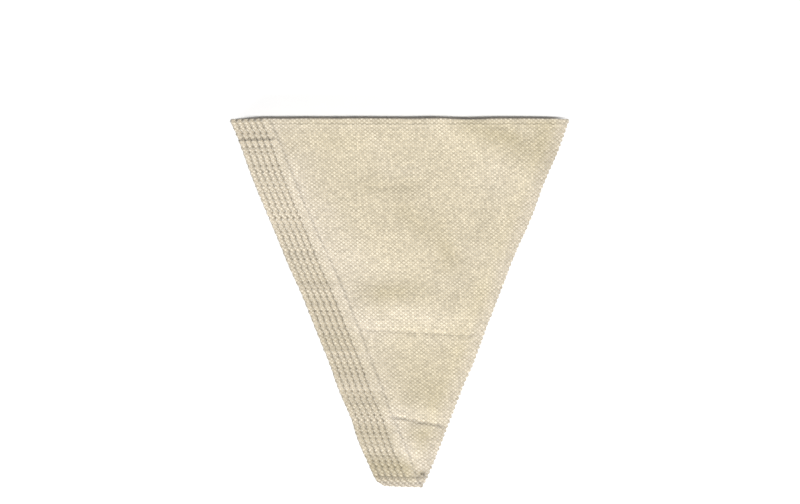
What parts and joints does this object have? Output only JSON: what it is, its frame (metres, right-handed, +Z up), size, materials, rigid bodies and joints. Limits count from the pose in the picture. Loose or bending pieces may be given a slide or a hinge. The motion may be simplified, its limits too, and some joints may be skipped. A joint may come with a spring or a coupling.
{
  "type": "fabric bunting",
  "caption": "Fabric bunting: plain triangular canvas flags with turned hems and blunt tips, lying flat as a stack fanned to one side.",
  "frame": {"origin": "centre of the stack's footprint, on the surface that the lowest flag lies on", "axes": "+X to the right along the flags' top edges, +Y from the tips towards the top edges, +Z up out of the flags' faces"},
  "size_m": [0.141, 0.154, 0.0116],
  "materials": {
    "canvas": "matt unbleached plain-weave cotton canvas"
  },
  "bodies": {
    "root": {"flag_1": "canvas", "flag_2": "canvas", "flag_3": "canvas", "flag_4": "canvas", "flag_5": "canvas", "flag_6": "canvas"}
  },
  "joints": []
}
